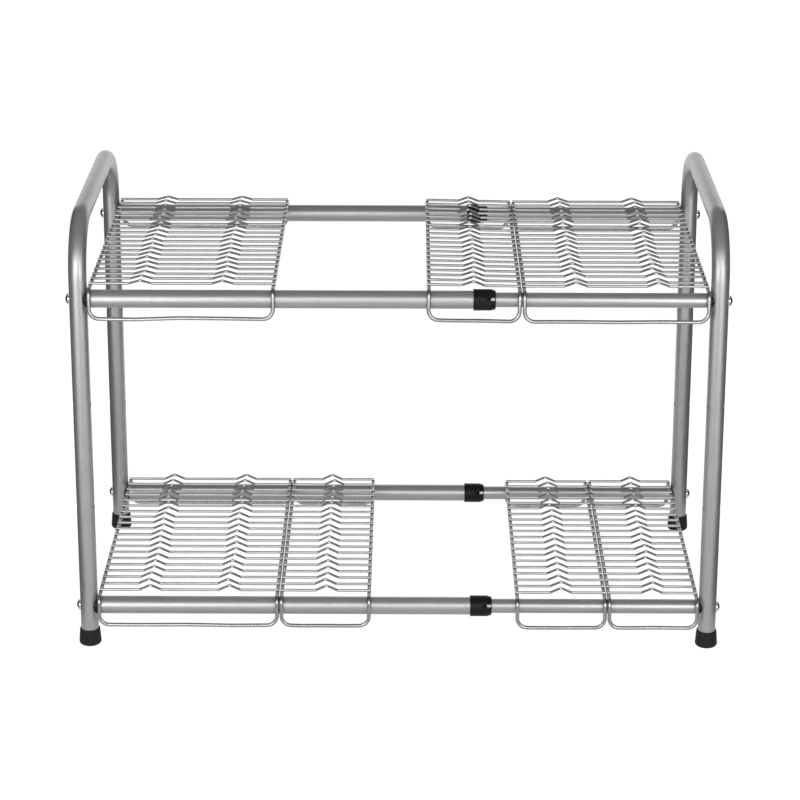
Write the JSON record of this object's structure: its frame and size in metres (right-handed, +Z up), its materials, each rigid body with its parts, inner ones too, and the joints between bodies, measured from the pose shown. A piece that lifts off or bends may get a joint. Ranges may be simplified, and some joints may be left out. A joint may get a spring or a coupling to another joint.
{
  "type": "expandable two-tier storage rack",
  "caption": "Two-tier storage rack with two arched tube side frames, telescoping bars that stretch its width, and lift-off wire shelf panels that hook over the bars.",
  "frame": {"origin": "centre of the footprint at the floor, under the rack as it stands in the picture", "axes": "+X runs along the bars from the left side frame to the right one, +Y from the front bars to the rear bars, +Z up"},
  "size_m": [0.5834, 0.303, 0.402],
  "materials": {
    "silver_paint": "satin silver metallic paint",
    "bright_wire": "glossy silver coat",
    "chrome": "polished",
    "black_plastic": "moulded, slight sheen",
    "black_rubber": "matte"
  },
  "bodies": {
    "left_half": {"left_side_frame": "silver_paint", "left_front_foot": "black_rubber", "left_rear_foot": "black_rubber", "upper_front_outer_tube": "silver_paint", "upper_rear_outer_tube": "silver_paint", "lower_front_outer_tube": "silver_paint", "lower_rear_outer_tube": "silver_paint", "upper_front_sleeve": "black_plastic", "upper_rear_sleeve": "black_plastic", "lower_front_sleeve": "black_plastic", "lower_rear_sleeve": "black_plastic", "left_upper_front_end_plug": "black_plastic", "left_upper_rear_end_plug": "black_plastic", "left_lower_front_end_plug": "black_plastic", "left_lower_rear_end_plug": "black_plastic", "left_upper_front_screw": "chrome", "left_upper_rear_screw": "chrome", "left_lower_front_screw": "chrome", "left_lower_rear_screw": "chrome"},
    "right_half": {"right_side_frame": "silver_paint", "right_front_foot": "black_rubber", "right_rear_foot": "black_rubber", "upper_front_inner_tube": "silver_paint", "upper_rear_inner_tube": "silver_paint", "lower_front_inner_tube": "silver_paint", "lower_rear_inner_tube": "silver_paint", "right_upper_front_end_plug": "black_plastic", "right_upper_rear_end_plug": "black_plastic", "right_lower_front_end_plug": "black_plastic", "right_lower_rear_end_plug": "black_plastic", "right_upper_front_screw": "chrome", "right_upper_rear_screw": "chrome", "right_lower_front_screw": "chrome", "right_lower_rear_screw": "chrome"},
    "upper_left_wide": {"upper_left_wide_panel": "bright_wire"},
    "upper_middle_narrow": {"upper_middle_narrow_panel": "bright_wire"},
    "upper_right_wide": {"upper_right_wide_panel": "bright_wire"},
    "lower_left_wide": {"lower_left_wide_panel": "bright_wire"},
    "lower_left_narrow": {"lower_left_narrow_panel": "bright_wire"},
    "lower_middle_narrow": {"lower_middle_narrow_panel": "bright_wire"},
    "lower_right_narrow": {"lower_right_narrow_panel": "bright_wire"}
  },
  "joints": [
    {"name": "width", "type": "slide", "parent": "left_half", "child": "right_half", "axis": [1, 0, 0], "range_m": [-0.0004, 0.058]},
    {"name": "upper_left_wide_slide", "type": "slide", "parent": "left_half", "child": "upper_left_wide", "axis": [1, 0, 0], "range_m": [-0.0002, 0.13]},
    {"name": "upper_middle_narrow_slide", "type": "slide", "parent": "left_half", "child": "upper_middle_narrow", "axis": [1, 0, 0], "range_m": [-0.0002, 0.029]},
    {"name": "upper_right_wide_slide", "type": "slide", "parent": "right_half", "child": "upper_right_wide", "axis": [1, 0, 0], "range_m": [-0.0002, 0.0002]},
    {"name": "lower_left_wide_slide", "type": "slide", "parent": "left_half", "child": "lower_left_wide", "axis": [1, 0, 0], "range_m": [-0.0002, 0.0002]},
    {"name": "lower_left_narrow_slide", "type": "slide", "parent": "left_half", "child": "lower_left_narrow", "axis": [1, 0, 0], "range_m": [-0.0002, 0.089]},
    {"name": "lower_middle_narrow_slide", "type": "slide", "parent": "right_half", "child": "lower_middle_narrow", "axis": [1, 0, 0], "range_m": [-0.0205, 0.0002]},
    {"name": "lower_right_narrow_slide", "type": "slide", "parent": "right_half", "child": "lower_right_narrow", "axis": [1, 0, 0], "range_m": [-0.0002, 0.0002]}
  ],
  "couplings": [
    {"joint": "upper_middle_narrow_slide", "follows": "width", "ratio": 0.5}
  ]
}
